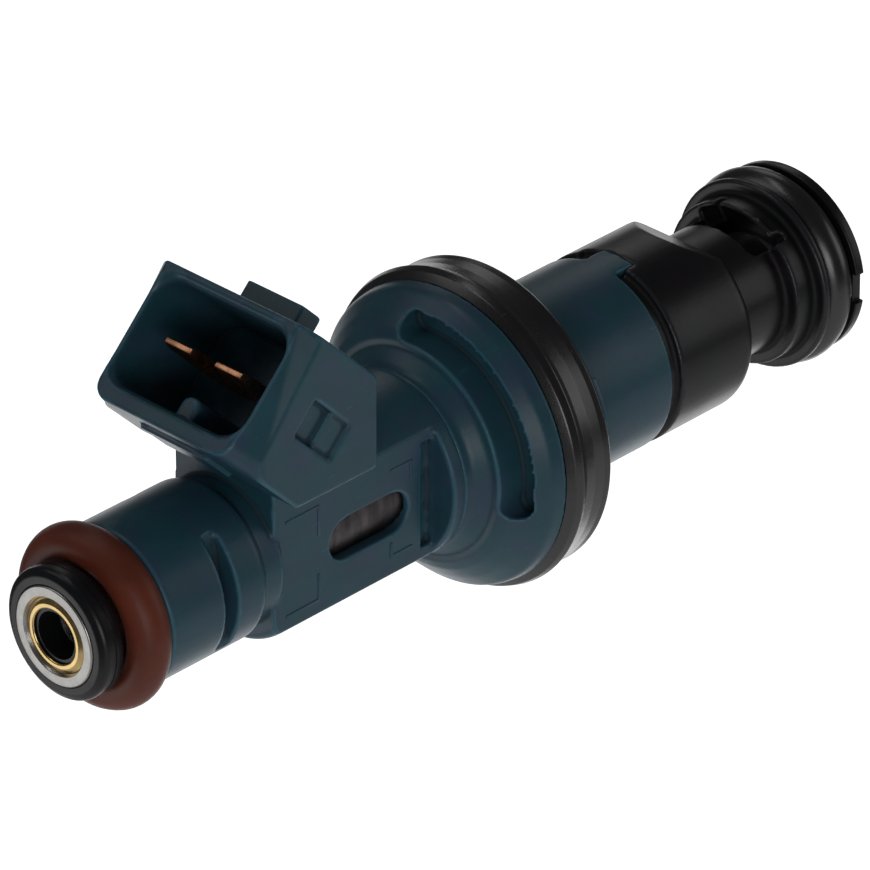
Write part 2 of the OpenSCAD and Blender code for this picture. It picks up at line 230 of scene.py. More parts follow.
class Value:
    """A node socket on which sums can be written like numbers."""

    def __init__(self, finish, socket):
        self.finish, self.socket = finish, socket

    def maths(self, operation, *terms):
        inputs = dict(enumerate(terms))
        return self.finish.node("ShaderNodeMath", {"operation": operation}, inputs)

    def __add__(self, other):
        return self.maths("ADD", self, other)

    __radd__ = __add__

    def __sub__(self, other):
        return self.maths("SUBTRACT", self, other)

    def __rsub__(self, other):
        return self.maths("SUBTRACT", other, self)

    def __mul__(self, other):
        return self.maths("MULTIPLY", self, other)

    __rmul__ = __mul__

    def __pow__(self, other):
        return self.maths("POWER", self, other)

    def sine(self):
        return self.maths("SINE", self)

    def over(self, start, end):
        """0 below start and 1 above end, smooth between them."""
        settings = {"interpolation_type": "SMOOTHSTEP"}
        inputs = {"Value": self, "From Min": start, "From Max": end}
        return self.finish.node("ShaderNodeMapRange", settings, inputs)


class Finish:
    """A material, written as expressions on its sockets."""

    def __init__(self, name):
        self.material = bpy.data.materials.new(name)
        self.material.use_nodes = True
        self.tree = self.material.node_tree
        self.tree.nodes.clear()
        self.place = self.node("ShaderNodeTexCoord", output="Object")

    def node(self, kind, settings=None, inputs=None, output=0):
        made = self.tree.nodes.new(kind)
        for key, value in (settings or {}).items():
            setattr(made, key, value)
        for key, value in (inputs or {}).items():
            if isinstance(value, Value):
                self.tree.links.new(value.socket, made.inputs[key])
            else:
                made.inputs[key].default_value = value
        return Value(self, made.outputs[output]) if made.outputs else None

    def part(self, axis):
        """One coordinate of the place: X, Y or Z."""
        return self.node("ShaderNodeSeparateXYZ", None, {"Vector": self.place}, axis)

    def radius(self):
        """Distance from the injector's axis."""
        across, up = self.part("Y"), self.part("Z")
        return (across * across + up * up) ** 0.5

    def stretched(self, scale, turn=(0.0, 0.0, 0.0)):
        inputs = {"Vector": self.place, "Scale": scale, "Rotation": turn}
        return self.node("ShaderNodeMapping", None, inputs)

    def noise(self, scale, detail=2.0, place=None, roughness=0.5):
        inputs = {
            "Vector": place or self.place,
            "Scale": scale,
            "Detail": detail,
            "Roughness": roughness,
        }
        return self.node("ShaderNodeTexNoise", None, inputs)

    def streaks(self, along, scale, detail=3.0):
        """Noise that changes only with one number, such as the radius."""
        inputs = {"W": along * scale, "Scale": 1.0, "Detail": detail}
        settings = {"noise_dimensions": "1D"}
        return self.node("ShaderNodeTexNoise", settings, inputs)

    def specks(self, scale, size):
        """Scattered round specks, 1 on a speck and 0 between them."""
        inputs = {"Vector": self.place, "Scale": scale}
        near = self.node("ShaderNodeTexVoronoi", None, inputs, "Distance")
        return 1 - near.over(size * 0.5, size)

    def blend(self, amount, low, high):
        settings = {"data_type": "RGBA"}
        low = low if isinstance(low, Value) else (*low, 1.0)
        high = high if isinstance(high, Value) else (*high, 1.0)
        return self.node("ShaderNodeMix", settings, {0: amount, 6: low, 7: high}, 2)

    def edges(self):
        """Above 0 along a moulded piece's outward edges, below 0 in its corners."""
        settings = {"attribute_name": EDGE_MARKS}
        return self.node("ShaderNodeAttribute", settings, output="Fac")

    def bump(self, height, depth, under=None):
        inputs = {"Height": height, "Distance": depth, "Strength": 1.0}
        if under:
            inputs["Normal"] = under
        return self.node("ShaderNodeBump", None, inputs)

    def done(self, **sockets):
        """Feeds the surface shader; underscores in names stand for spaces."""
        inputs = {name.replace("_", " "): value for name, value in sockets.items()}
        shader = self.node("ShaderNodeBsdfPrincipled", None, inputs)
        self.node("ShaderNodeOutputMaterial", None, {"Surface": shader})
        return self.material


def shade(colour, factor):
    return tuple(channel * factor for channel in colour)


def tinted(colour, red, green, blue):
    return colour[0] * red, colour[1] * green, colour[2] * blue


def moulded_plastic(name, colour, gloss, edge_highlight_colour, edge_highlight_amount):
    """Semi-gloss moulded plastic with grain and flow marks; corners painted darker as
    shade and made duller, edges painted paler as a highlight, partly wear.
    """
    finish = Finish(name)
    cloud = finish.noise(170, 3)
    hue = finish.noise(310, 5, roughness=0.6)
    flow = finish.noise(420, 4, finish.stretched((0.35, 1.0, 1.0)))
    grain = finish.noise(9000, 3)
    handling_and_highlight_patches = finish.noise(1400, 6, roughness=0.7).over(0.56, 0.75)
    scuffs = finish.noise(2300, 4, finish.stretched((0.2, 1.0, 1.0), (0.3, 0.5, 0.2)))
    cool, warm = tinted(colour, 0.8, 1.04, 0.96), tinted(colour, 1.35, 0.9, 1.06)
    base = finish.blend(hue.over(0.38, 0.66), cool, warm)
    base = finish.blend(cloud.over(0.3, 0.7) * 0.3, base, shade(colour, 0.7))
    base = finish.blend(flow.over(0.45, 0.8) * 0.25, base, shade(colour, 1.6))
    base = finish.blend(scuffs.over(0.66, 0.76) * 0.3, base, shade(colour, 2.2))
    edges = finish.edges()
    # Painted shade: concave corners are painted darker, as where shade falls; the same
    # mask also makes them rougher.
    corner_shade_and_dullness = 1 - edges.over(-1.1, -0.4)
    base = finish.blend(corner_shade_and_dullness * 0.7, base, shade(colour, 0.3))
    # Painted highlight: outward edges are painted paler, standing in for light caught on
    # the rounded edges, partly wear, broken up in patches.
    edge_highlight_and_wear = edges.over(0.5, 1.2) * (0.55 + 0.45 * handling_and_highlight_patches)
    base = finish.blend(edge_highlight_and_wear * edge_highlight_amount, base, edge_highlight_colour)
    roughness = gloss + 0.12 * (cloud - 0.5) + 0.1 * handling_and_highlight_patches + 0.06 * (flow - 0.5)
    roughness = roughness + 0.3 * corner_shade_and_dullness
    normal = finish.bump(grain, sizes().grain)
    normal = finish.bump(flow, 0.00003, normal)
    return finish.done(
        Base_Color=base,
        Roughness=roughness,
        Normal=normal,
        **{"Specular IOR Level": 0.4},
    )


def seal_rubber(name, colour, gloss, bloom, sheen):
    """Smooth moulded rubber with a faint bloom and fine specks."""
    finish = Finish(name)
    cloud = finish.noise(260, 4)
    grain = finish.noise(12000, 3)
    dust = finish.specks(2600, 0.16) * finish.noise(500, 2).over(0.5, 0.7)
    base = finish.blend(cloud.over(0.3, 0.7), shade(colour, 0.85), shade(colour, 1.15))
    base = finish.blend(dust * bloom, base, shade((1.0, 0.95, 0.9), 0.25))
    roughness = gloss + 0.12 * (cloud - 0.5) + 0.15 * dust
    normal = finish.bump(grain, 0.000005)
    normal = finish.bump(cloud, 0.00004, normal)
    return finish.done(
        Base_Color=base,
        Roughness=roughness,
        Normal=normal,
        **{"Specular IOR Level": sheen},
    )


def turned_metal(name, colour, gloss, mark_depth):
    """Metal with the fine circular marks of a lathe."""
    finish = Finish(name)
    marks = finish.streaks(finish.radius(), 22000)
    bands = finish.streaks(finish.part("X"), 9000)
    stain = finish.noise(900, 4)
    base = finish.blend(stain.over(0.35, 0.75), shade(colour, 0.8), colour)
    roughness = gloss + 0.15 * (marks - 0.5) + 0.12 * (stain - 0.5)
    normal = finish.bump(marks + bands, mark_depth)
    return finish.done(
        Base_Color=base, Roughness=roughness, Metallic=1.0, Normal=normal
    )


def drawn_metal(name, colour, gloss, metallic=1.0):
    """Sheet or strip metal with straight marks and a little tarnish."""
    finish = Finish(name)
    marks = finish.noise(2600, 4, finish.stretched((1.0, 12.0, 1.0)))
    stain = finish.noise(700, 3)
    bands = finish.noise(420, 3, finish.stretched((2.2, 0.6, 0.3)))
    base = finish.blend(stain.over(0.35, 0.8), colour, shade(colour, 0.5))
    base = finish.blend(bands.over(0.4, 0.62) * 0.6, base, shade(colour, 0.32))
    roughness = gloss + 0.2 * (marks - 0.5)
    normal = finish.bump(marks, 0.000004)
    normal = finish.bump(bands, 0.00005, normal)
    return finish.done(
        Base_Color=base, Roughness=roughness, Metallic=metallic, Normal=normal
    )


def wound_wire():
    """Turns of enamelled wire round the coil."""
    finish = Finish("enamelled_wire")
    ridge = (finish.part("X") * 12600.0).sine()
    colour = colours().copper
    # Painted shade: the wire is painted darker in the grooves between its turns.
    base = finish.blend(ridge.over(-1, 0.6), shade(colour, 0.25), shade(colour, 0.8))
    normal = finish.bump(ridge, 0.00006)
    return finish.done(Base_Color=base, Roughness=0.3, Metallic=0.7, Normal=normal)


def woven_mesh():
    """Fine strainer cloth."""
    finish = Finish("strainer_cloth")
    across, up = finish.part("Y"), finish.part("Z")
    warp = (across.maths("ARCTAN2", across, up) * 60.0).sine()
    weft = (finish.part("X") * 30000.0).sine()
    weave = warp * weft
    # Painted shade: the cloth is painted darker where its weave dips.
    base = finish.blend(weave.over(-0.5, 0.5), (0.12, 0.12, 0.12), (0.5, 0.5, 0.48))
    normal = finish.bump(weave, 0.00003)
    return finish.done(Base_Color=base, Roughness=0.45, Metallic=0.6, Normal=normal)


FINISHES = {
    "slate_plastic": lambda: moulded_plastic(
        "slate_plastic", colours().slate, 0.36, shade(colours().slate, 3.4), 0.42
    ),
    "black_plastic": lambda: moulded_plastic(
        "black_plastic", colours().shroud, 0.32, shade(colours().shroud, 7.0), 0.5
    ),
    "black_rubber": lambda: seal_rubber(
        "black_rubber", colours().rubber, 0.28, 0.25, 1.0
    ),
    "brown_rubber": lambda: seal_rubber(
        "brown_rubber", colours().rail_seal, 0.46, 0.3, 0.35
    ),
    "bright_steel": lambda: turned_metal("bright_steel", colours().steel, 0.3, 4e-6),
    "zinc_steel": lambda: drawn_metal("zinc_steel", (0.17, 0.15, 0.155), 0.45),
    "brass": lambda: turned_metal("brass", colours().brass, 0.22, 2e-6),
    "copper_blade": lambda: drawn_metal("copper_blade", colours().copper, 0.28),
    "coil_wire": wound_wire,
    "nylon": lambda: moulded_plastic(
        "nylon", (0.6, 0.56, 0.44), 0.45, (0.8, 0.78, 0.7), 0.2
    ),
    "mesh": woven_mesh,
}


def finish_of(slot):
    """The slot's material, made the first time it is asked for."""
    return bpy.data.materials.get("finish_" + slot) or new_finish(slot)


def new_finish(slot):
    material = FINISHES[slot]()
    material.name = "finish_" + slot
    return material


# ---------------------------------------------------------------- shaping


def take(piece):
    """Makes one piece the only one selected."""
    bpy.ops.object.select_all(action="DESELECT")
    piece.select_set(True)
    bpy.context.view_layer.objects.active = piece
    return piece


def started(name):
    """The primitive just added, with its place moved into its mesh."""
    piece = bpy.context.object
    piece.name = piece.data.name = name
    bpy.ops.object.transform_apply(location=True, rotation=True, scale=True)
    return piece


def settled(piece, turn=(0.0, SOCKET_LEAN, 0.0), place=(0.0, 0.0, 0.0)):
    """Brings a piece into the injector's frame, from the socket's if not told."""
    take(piece)
    piece.rotation_euler, piece.location = turn, place
    bpy.ops.object.transform_apply(location=True, rotation=True, scale=True)
    return piece


def choose(piece, kind, test):
    """Edit mode with the edges or faces chosen whose middle passes the test."""
    take(piece)
    bpy.ops.object.mode_set(mode="EDIT")
    bpy.ops.mesh.select_mode(type=kind)
    bpy.ops.mesh.select_all(action="DESELECT")
    bpy.ops.object.mode_set(mode="OBJECT")
    mesh = piece.data
    if kind == "EDGE":
        for edge in mesh.edges:
            a, b = (mesh.vertices[i].co for i in edge.vertices)
            edge.select = bool(test((a + b) / 2, (b - a).normalized()))
    else:
        for face in mesh.polygons:
            face.select = bool(test(face.center, face.normal))
    bpy.ops.object.mode_set(mode="EDIT")


def rounded_corners(corner_shade_and_dullness, steps=6):
    """Places (x, radius) with each corner's third number as its rounding."""
    places = []
    for i, (x, r, *rounding) in enumerate(corner_shade_and_dullness):
        here = Vector((x, r))
        if not rounding or not rounding[0]:
            places.append((x, r))
            continue
        before = Vector(corner_shade_and_dullness[i - 1][:2]) - here
        after = Vector(corner_shade_and_dullness[(i + 1) % len(corner_shade_and_dullness)][:2]) - here
        half = before.angle(after) / 2
        reach = min(rounding[0] / math.tan(half), before.length, after.length)
        size = reach * math.tan(half)
        middle = (before.normalized() + after.normalized()).normalized()
        centre = here + middle * (size / math.sin(half))
        start = here + before.normalized() * reach - centre
        end = here + after.normalized() * reach - centre
        turn = start.angle_signed(end)
        for step in range(steps + 1):
            arm = start.copy()
            arm.rotate(Matrix.Rotation(-turn * step / steps, 2))
            places.append(tuple(centre + arm))
    return places


def turned(name, corner_shade_and_dullness, sides=FINE_SIDES, hollow=True):
    """Draws a ring along X, from corner to corner, as on a lathe."""
    places = rounded_corners(corner_shade_and_dullness)
    (x, r), rest = places[0], places[1:]
    bpy.ops.object.select_all(action="DESELECT")
    bpy.ops.mesh.primitive_circle_add(
        vertices=sides,
        radius=r,
        fill_type="NOTHING" if hollow else "NGON",
        location=(x, 0, 0),
        rotation=(0, math.pi / 2, 0),
    )
    piece = started(name)
    bpy.ops.object.mode_set(mode="EDIT")
    bpy.ops.mesh.select_mode(type="EDGE" if hollow else "FACE")
    bpy.ops.mesh.select_all(action="SELECT")
    for next_x, next_r in rest + ([places[0]] if hollow else []):
        bpy.ops.mesh.extrude_region_move(
            TRANSFORM_OT_translate={"value": (next_x - x, 0, 0)}
        )
        bpy.ops.transform.resize(
            value=(1, next_r / r, next_r / r), center_override=(next_x, 0, 0)
        )
        x, r = next_x, next_r
    bpy.ops.object.mode_set(mode="OBJECT")
    return closed(piece)


def closed(piece):
    """Welds the piece shut and points its faces outwards."""
    take(piece)
    bpy.ops.object.mode_set(mode="EDIT")
    bpy.ops.mesh.select_all(action="SELECT")
    bpy.ops.mesh.remove_doubles(threshold=2e-4)
    bpy.ops.mesh.fill_holes(sides=0)
    bpy.ops.mesh.select_all(action="SELECT")
    bpy.ops.mesh.normals_make_consistent(inside=False)
    bpy.ops.object.mode_set(mode="OBJECT")
    return piece


def block(name, low, high):
    """A block between two corners."""
    bpy.ops.object.select_all(action="DESELECT")
    middle = [(a + b) / 2 for a, b in zip(low, high)]
    extent = [b - a for a, b in zip(low, high)]
    bpy.ops.mesh.primitive_cube_add(size=1, location=middle, scale=extent)
    return started(name)


def rod(name, middle, radius, length):
    """A plain rod along X."""
    bpy.ops.object.select_all(action="DESELECT")
    bpy.ops.mesh.primitive_cylinder_add(
        vertices=48,
        radius=radius,
        depth=length,
        location=middle,
        rotation=(0, math.pi / 2, 0),
    )
    return started(name)


def side_span(side, inner, outer):
    """Two distances from the middle, on one side of it, in rising order."""
    return sorted((side * inner, side * outer))


def eased(piece, width, steps, test):
    """Bevels the edges that pass the test."""
    choose(piece, "EDGE", test)
    bpy.ops.mesh.bevel(offset=width, segments=steps, affect="EDGES")
    bpy.ops.object.mode_set(mode="OBJECT")
    return piece


def sliced(piece, place, normal):
    """Cuts away what lies on the normal's side of a plane."""
    return scored(piece, place, normal, use_fill=True, clear_outer=True)


def scored(piece, place, normal, **cutting):
    """Cuts new edges round a piece where a plane meets it."""
    take(piece)
    bpy.ops.object.mode_set(mode="EDIT")
    bpy.ops.mesh.select_all(action="SELECT")
    bpy.ops.mesh.bisect(plane_co=place, plane_no=normal, **cutting)
    bpy.ops.object.mode_set(mode="OBJECT")
    return piece


def tapered(piece, place, normal, scale, centre):
    """Scores a piece and scales its top, so that it narrows or opens from there."""
    scored(piece, place, normal)
    choose(piece, "FACE", lambda at, normal: normal.z > 0.9)
    bpy.ops.transform.resize(value=scale, center_override=centre)
    bpy.ops.object.mode_set(mode="OBJECT")
    return piece


def arc_block(name, x_span, r_span, angle, sweep, steps):
    """A bar bent round the axis; angle 0 is -Y and 90 is +Z."""
    bpy.ops.object.select_all(action="DESELECT")
    bpy.ops.mesh.primitive_plane_add(
        size=1,
        location=(sum(x_span) / 2, 0, sum(r_span) / 2),
        rotation=(math.pi / 2, 0, 0),
    )
    bpy.context.object.scale = (x_span[1] - x_span[0], r_span[1] - r_span[0], 1)
    piece = settled(started(name), (math.radians(90 - angle), 0, 0))
    bpy.ops.object.mode_set(mode="EDIT")
    bpy.ops.mesh.select_all(action="SELECT")
    bpy.ops.mesh.spin(
        steps=steps,
        angle=math.radians(sweep),
        center=(0, 0, 0),
        axis=(1, 0, 0),
    )
    bpy.ops.object.mode_set(mode="OBJECT")
    return closed(piece)


def modified(piece, kind, **settings):
    """Puts a modifier with these settings on a piece and applies it."""
    take(piece)
    bpy.ops.object.modifier_add(type=kind)
    modifier = piece.modifiers[-1]
    for key, value in settings.items():
        setattr(modifier, key, value)
    bpy.ops.object.modifier_apply(modifier=modifier.name)
    return piece


def combine(piece, tools, operation):
    """Adds tools to a piece, or cuts them out of it, and removes the tools."""
    for tool in tools:
        modified(piece, "BOOLEAN", operation=operation, object=tool, solver="EXACT")
        bpy.data.meshes.remove(tool.data)
    return piece


def moulded(piece, triangles):
    """Melts the joined shapes into one skin with rounded edges."""
    cell = sizes().voxel / MM * 1
    modified(piece, "REMESH", mode="VOXEL", voxel_size=cell, use_smooth_shade=True)
    modified(piece, "SMOOTH", factor=0.5, iterations=3)
    skin_triangles = 2.0 * len(piece.data.polygons)
    modified(piece, "DECIMATE", ratio=min(1.0, triangles / skin_triangles))
    return edge_marks(piece)


def edge_marks(piece):
    """Stores how sharply the skin bends, above 0 along outward edges."""
    mesh = piece.data
    count = len(mesh.vertices)
    points, normals = np.empty(count * 3), np.empty(count * 3)
    mesh.vertices.foreach_get("co", points)
    mesh.vertex_normals.foreach_get("vector", normals)
    points, normals = points.reshape(-1, 3), normals.reshape(-1, 3)
    ends = np.empty(len(mesh.edges) * 2, dtype=np.int32)
    mesh.edges.foreach_get("vertices", ends)
    a, b = ends.reshape(-1, 2).T
    both, other = np.concatenate((a, b)), np.concatenate((b, a))
    along, turn = points[b] - points[a], normals[b] - normals[a]
    bend = (along * turn).sum(1) / np.maximum((along * along).sum(1), 1e-4)
    bend = np.clip(bend, -5, 5)
    joined = np.maximum(np.bincount(both, minlength=count), 1)
    marks = np.bincount(both, np.concatenate((bend, bend)), count) / joined
    for _ in range(2):
        marks = (marks + np.bincount(both, marks[other], count) / joined) / 2
    store = mesh.attributes.new(EDGE_MARKS, "FLOAT", "POINT")
    store.data.foreach_set("value", marks)
    return piece


def finished(piece, slot, *nodes, smooth=32):
    """Brings a piece to its real size and finish, and hides the solids that it stands in
    for.
    """
    take(piece)
    piece.scale = (MM, MM, MM)
    bpy.ops.object.transform_apply(scale=True)
    if smooth:
        bpy.ops.object.shade_smooth_by_angle(angle=math.radians(smooth))
    piece.data.materials.clear()
    piece.data.materials.append(finish_of(slot))
    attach(piece, HULL)
    if nodes:
        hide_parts(*nodes)
    return piece


def ring_of_rubber(name, x, mean_r, section, flash_at):
    """A seal's round section as corners for the lathe, with a parting line."""
    steps = 44
    corner_shade_and_dullness = []
    for step in range(steps):
        angle = 2 * math.pi * step / steps
        away = abs(math.remainder(angle - math.radians(flash_at), math.pi))
        size = section + (sizes().flash / MM if away < 0.05 else 0.0)
        corner_shade_and_dullness.append((x - size * math.cos(angle), mean_r + size * math.sin(angle)))
    return turned(name, corner_shade_and_dullness, sizes().seal_sides)


# ---------------------------------------------------------------- pieces


class INJECTOR_OT_inlet(bpy.types.Operator):
    """Turns the inlet tube, its strainer collar and the retaining collar."""

    bl_idname = "injector.inlet"
    bl_label = "Fuel inlet"

    def execute(self, context):
        tube = turned(
            "inlet_tube_turned",
            [
                (0, 3.06, 0.06),
                (0, 3.88, 0.14),
                (17.5, 3.88),
                (17.5, 3.1),
                (31, 3.1),
                (31, 1.6),
                (13, 1.6),
                (13, 2.35),
                (2.2, 2.35),
                (2.2, 2.92),
                (0.3, 2.92, 0.1),
            ],
        )
        finished(tube, "bright_steel", "inlet_tube")
        collar = turned(
            "strainer_collar",
            [
                (0.05, 2.12, 0.14),
                (0.05, 2.5, 0.3),
                (0.3, 2.92, 0.12),
                (2.2, 2.92),
                (2.2, 2.37),
                (0.3, 2.37),
                (0.24, 2.12, 0.08),
            ],
        )
        finished(collar, "brass", "filter_collar")
        retainer = turned(
            "rail_seal_retainer",
            [
                (0.12, 3.9, 0.08),
                (0.12, 4.5, 0.5),
                (0.42, 5.1, 0.5),
                (1.15, 5.1),
                (1.15, 5.02, 0.04),
                (1.3, 5.02, 0.04),
                (1.3, 5.1),
                (2.0, 5.1, 0.12),
                (2.0, 3.9),
            ],
        )
        finished(retainer, "black_plastic", "inlet_retainer")
        return {"FINISHED"}


class INJECTOR_OT_round_seals(bpy.types.Operator):
    """Moulds the brown rail seal and the black seal at the tip."""

    bl_idname = "injector.round_seals"
    bl_label = "Round seals"

    def execute(self, context):
        rail = ring_of_rubber("rail_seal", 4.0, 5.5, 1.6, 48)
        finished(rail, "brown_rubber", "inlet_seal")
        tip = ring_of_rubber("tip_seal_ring", 75.2, 6.55, 1.4, 45)
        finished(tip, "black_rubber", "tip_seal")
        return {"FINISHED"}


def coil_box():
    """The flat-sided box round the coil, with its slots behind the flats."""
    box = turned(
        "coil_box", [(16.8, 0.5), (16.8, 7.28, 0.7), (33.0, 7.28), (33.0, 0.5)],
    )
    for side in SIDES:
        sliced(box, (0, side * FLAT_Y, 0), (0, side, 0))
    shelf = block("shelf", (16.8, -FLAT_Y, 0.0), (24.4, FLAT_Y, 6.8))
    slots = []
    for side in SIDES:
        low, high = side_span(side, 4.45, 5.6)
        slots.append(block("lens_slot", (31.85, low, -4.4), (32.95, high, 4.4)))
    combine(box, [shelf], "UNION")
    return combine(box, slots, "DIFFERENCE")


def socket_shell():
    """The leaning socket: bevelled cheeks, a rounded mouth and its lugs."""
    rim, low_u, high_u, rim_half_width = 1.8, 16.3, 27.25, 6.66
    shell = block("socket_shell", (low_u, -CHEEK_Y, -13.0), (high_u, CHEEK_Y, rim))
    narrowing = (1, rim_half_width / CHEEK_Y, 1)
    tapered(shell, (low_u, 0, -0.7), (-0.1, 0, 1.0), narrowing, (0, 0, rim))
    eased(shell, 1.35, 6, lambda at, way: abs(way.z) > 0.8 and at.z > -0.6)
    settled(shell)
    sliced(shell, (SOCKET_BACK_X, 0, 0), (1, 0, 0))
    sliced(shell, (0, 0, 6.75), (0, 0, -1))

    upper_lug = block("upper_lug", (27.0, -2.3, -5.6), (29.05, 3.34, -3.1))
    lower_lug = block("lower_lug", (15.95, -3.3, -4.2), (16.5, 3.3, -0.75))
    for lug in (upper_lug, lower_lug):
        settled(lug)
    sliced(upper_lug, (SOCKET_BACK_X, 0, 0), (1, 0, 0))
    return combine(shell, [upper_lug, lower_lug], "UNION")


def socket_hollows():
    """What is cut from the socket: its mouth and the catches on its cheeks."""
    mouth = block("mouth", (17.8, -6.5, -7.6), (26.35, 6.5, 3.0))
    eased(mouth, 2.0, 8, lambda at, way: abs(way.z) > 0.9)
    tapered(mouth, (0, 0, 1.3), (0, 0, 1), (1.26, 1.17, 1), (22.07, 0, 3.0))
    hollows = [settled(mouth)]
    for side in SIDES:
        for depth, inner, outer in ((0.75, -4.9, -2.4), (0.35, -7.25, -4.8)):
            low, high = side_span(side, CHEEK_Y - depth, 8.5)
            catch = block("catch", (20.4, low, inner), (23.35, high, outer))
            hollows.append(settled(catch))
    return hollows


class INJECTOR_OT_body(bpy.types.Operator):
    """Moulds the blue-grey body with its barrel, coil box and socket."""

    bl_idname = "injector.body"
    bl_label = "Socket body"

    def execute(self, context):
        body = turned(
            "socket_body",
            [
                (5.6, 3.0),
                (5.6, 6.3, 0.12),
                (15.1, 6.3, 1.0),
                (15.1, 5.65, 0.3),
                (17.2, 5.65),
                (17.2, 4.6),
                (33.0, 4.6),
                (33.0, 7.28, 0.2),
                (34.25, 7.28, 0.25),
                (34.25, 6.0),
                (38.0, 6.0),
                (38.0, 3.0),
            ],
        )
        combine(body, [coil_box(), socket_shell()], "UNION")
        combine(body, socket_hollows() + self.side_cuts(), "DIFFERENCE")
        rib = block("key_rib", (17.0, -0.85, -8.0), (19.55, 0.85, -0.3))
        eased(rib, 0.7, 4, lambda at, way: abs(way.z) > 0.9 and at.x > 19)
        eased(rib, 0.25, 3, lambda at, way: at.z > -0.4)
        combine(body, [settled(rib)], "UNION")
        bore = turned(
            "bore",
            [
                (5.0, 3.9),
                (17.5, 3.9),
                (17.5, 3.12),
                (20.2, 3.12),
                (20.2, 4.4),
                (36.0, 4.4),
                (36.0, 3.6),
                (39.0, 3.6),
            ],
            hollow=False,
        )
        combine(body, [bore], "DIFFERENCE")
        moulded(body, 190000)
        finished(body, "slate_plastic", "connector_body", smooth=0)
        self.moulded_lines()
        return {"FINISHED"}

    def side_cuts(self):
        """Clip grooves across the barrel and windows in the flats."""
        cuts = []
        for side in SIDES:
            low, high = side_span(side, 4.35, 9)
            groove = block("clip_groove", (10.85, low, -8), (12.1, high, 8))
            cuts.append(settled(groove, (math.radians(side * 8.0), 0, 0)))
            low, high = side_span(side, 3.0, 6)
            window = block("window", (22.5, low, -1.95), (30.5, high, 1.45))
            eased(window, 1.69, 10, lambda at, way: abs(way.y) > 0.9)
            cuts.append(window)
        return cuts

    def moulded_lines(self):
        """Fine raised outlines of inserts on the coil box's flats."""
        bars = [
            (18.0, 21.4, 3.5, 3.75),
            (21.2, 21.45, 1.2, 3.5),
            (18.0, 21.4, -4.3, -4.05),
            (21.2, 21.45, -4.05, -2.0),
            (28.6, 30.9, 3.3, 3.55),
            (30.65, 30.9, 1.9, 3.3),
            (28.6, 30.9, -3.9, -3.65),
            (28.6, 28.85, -3.65, -2.6),
        ]
        for side in SIDES:
            name = "flat_outlines_near" if side < 0 else "flat_outlines_far"
            low, high = side_span(side, FLAT_Y - 0.2, FLAT_Y + 0.05)
            lines = None
            for x0, x1, z0, z1 in bars:
                bar = block(name, (x0, low, z0), (x1, high, z1))
                lines = combine(lines, [bar], "UNION") if lines else bar
            lines.name = lines.data.name = name
            eased(lines, 0.04, 2, lambda at, way: abs(at.y) > FLAT_Y)
            finished(lines, "slate_plastic")


class INJECTOR_OT_blades(bpy.types.Operator):
    """Stamps the two copper blades and bends their tails to the coil."""

    bl_idname = "injector.blades"
    bl_label = "Blade terminals"

    def execute(self, context):
        blades = []
        half_pitch, half_blade, half_tail = 2.5, 1.4, 0.6
        for side in SIDES:
            y = side * half_pitch
            low, high = y - half_blade, y + half_blade
            blade = block("blade_terminals", (21.8, low, -9), (22.6, high, 1.0))
            tapered(blade, (0, 0, 0), (0, 0, 1), (0.48, 0.92, 1), (22.2, y, 1.0))
            eased(blade, 0.07, 2, lambda at, way: at.z > 0.9)
            settled(blade)
            leg = block("leg", (21.66, low, 6.2), (22.46, high, 9.58))
            low, high = y - half_tail, y + half_tail
            tail = block("tail", (21.66, low, 3.75), (22.46, high, 6.4))
            blades.append(combine(blade, [leg, tail], "UNION"))
        for blade in blades:
            blade.select_set(True)
        bpy.context.view_layer.objects.active = blades[0]
        bpy.ops.object.join()
        pair = bpy.context.object
        pair.name = pair.data.name = "blade_pair"
        finished(pair, "copper_blade", "terminals")
        return {"FINISHED"}


